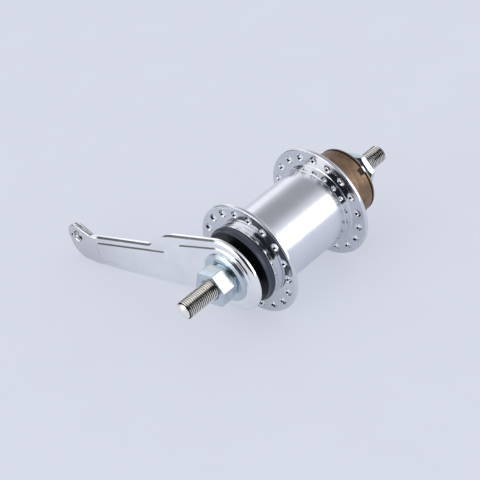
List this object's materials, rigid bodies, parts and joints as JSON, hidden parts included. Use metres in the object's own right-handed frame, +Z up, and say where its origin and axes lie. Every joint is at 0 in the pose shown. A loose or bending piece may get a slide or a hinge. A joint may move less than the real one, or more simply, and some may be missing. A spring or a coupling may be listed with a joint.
{
  "type": "coaster brake hub",
  "caption": "Rear bicycle hub with a back-pedal brake: chromed spoke flanges, satin barrel, brown driver for a sprocket, threaded axle and a stamped reaction arm.",
  "frame": {"origin": "On the axle's centre line, in the plane of the brake-side locknut's outer face.", "axes": "+Y along the axle to the drive side, +Z up, brake arm towards -X. At rest both flanges and the arm's tip touch one level surface below."},
  "size_m": [0.1502, 0.1455, 0.059],
  "materials": {
    "axle_steel": "rolled thread, grey zinc",
    "bright_zinc": "bluish bright zinc plate",
    "arm_plate": "pale satin plate",
    "black_cap": "gloss black",
    "hardened_steel": "ground and oiled",
    "shell_satin": "satin plate",
    "flange_chrome": "polished chrome plate",
    "brown_driver": "brown phosphate, oiled",
    "spring_wire": "bare wire",
    "shoe_steel": "dark, greased",
    "ball_steel": "polished",
    "cage_strip": "pressed strip"
  },
  "bodies": {
    "axle_set": {"axle": "axle_steel", "brake_side_locknut": "bright_zinc", "arm_washer": "bright_zinc", "brake_arm": "arm_plate", "brake_side_dust_cap": "black_cap", "brake_cone": "hardened_steel", "drive_side_cone": "hardened_steel", "drive_side_spacer": "bright_zinc", "drive_side_locknut": "bright_zinc"},
    "hub_shell": {"shell_barrel": "shell_satin", "brake_side_flange": "flange_chrome", "drive_side_flange": "flange_chrome", "brake_side_cup": "hardened_steel", "drive_side_cup": "hardened_steel"},
    "driver_set": {"driver": "brown_driver", "driver_dust_cap": "black_cap"},
    "retarder": {"retarder_spring": "spring_wire"},
    "clutch": {"clutch_cone": "hardened_steel"},
    "front_shoe": {"front_brake_shoe": "shoe_steel"},
    "rear_shoe": {"rear_brake_shoe": "shoe_steel"},
    "brake_side_bearing": {"brake_side_balls": "ball_steel", "brake_side_ball_cage": "cage_strip"},
    "driver_bearing": {"driver_balls": "ball_steel", "driver_ball_cage": "cage_strip"},
    "cone_bearing": {"cone_balls": "ball_steel", "cone_ball_cage": "cage_strip"}
  },
  "joints": [
    {"name": "shell_spin", "type": "hinge", "parent": "axle_set", "child": "hub_shell", "pos_m": [0, 0.052, 0], "axis": [0, 1, 0], "continuous": true},
    {"name": "driver_spin", "type": "hinge", "parent": "axle_set", "child": "driver_set", "pos_m": [0, 0.09, 0], "axis": [0, 1, 0], "continuous": true},
    {"name": "clutch_travel", "type": "slide", "parent": "axle_set", "child": "retarder", "axis": [0, 1, 0], "range_m": [-0.0019, 0]},
    {"name": "clutch_spin", "type": "hinge", "parent": "retarder", "child": "clutch", "pos_m": [0, 0.058, 0], "axis": [0, 1, 0], "continuous": true},
    {"name": "front_shoe_lift", "type": "slide", "parent": "axle_set", "child": "front_shoe", "axis": [0.3872, -0.922, 0], "range_m": [0, 0.00104]},
    {"name": "rear_shoe_lift", "type": "slide", "parent": "axle_set", "child": "rear_shoe", "axis": [-0.3872, -0.922, 0], "range_m": [0, 0.00104]},
    {"name": "brake_side_bearing_spin", "type": "hinge", "parent": "axle_set", "child": "brake_side_bearing", "pos_m": [0, 0.0246, 0], "axis": [0, 1, 0], "continuous": true},
    {"name": "driver_bearing_spin", "type": "hinge", "parent": "axle_set", "child": "driver_bearing", "pos_m": [0, 0.077, 0], "axis": [0, 1, 0], "continuous": true},
    {"name": "cone_bearing_spin", "type": "hinge", "parent": "axle_set", "child": "cone_bearing", "pos_m": [0, 0.093, 0], "axis": [0, 1, 0], "continuous": true}
  ],
  "couplings": [
    {"joint": "front_shoe_lift", "follows": "clutch_travel", "ratio": -0.5423},
    {"joint": "rear_shoe_lift", "follows": "clutch_travel", "ratio": -0.5423},
    {"joint": "brake_side_bearing_spin", "follows": "shell_spin", "ratio": 0.5802},
    {"joint": "driver_bearing_spin", "follows": "shell_spin", "ratio": 0.5802},
    {"joint": "cone_bearing_spin", "follows": "driver_spin", "ratio": 0.5946}
  ]
}
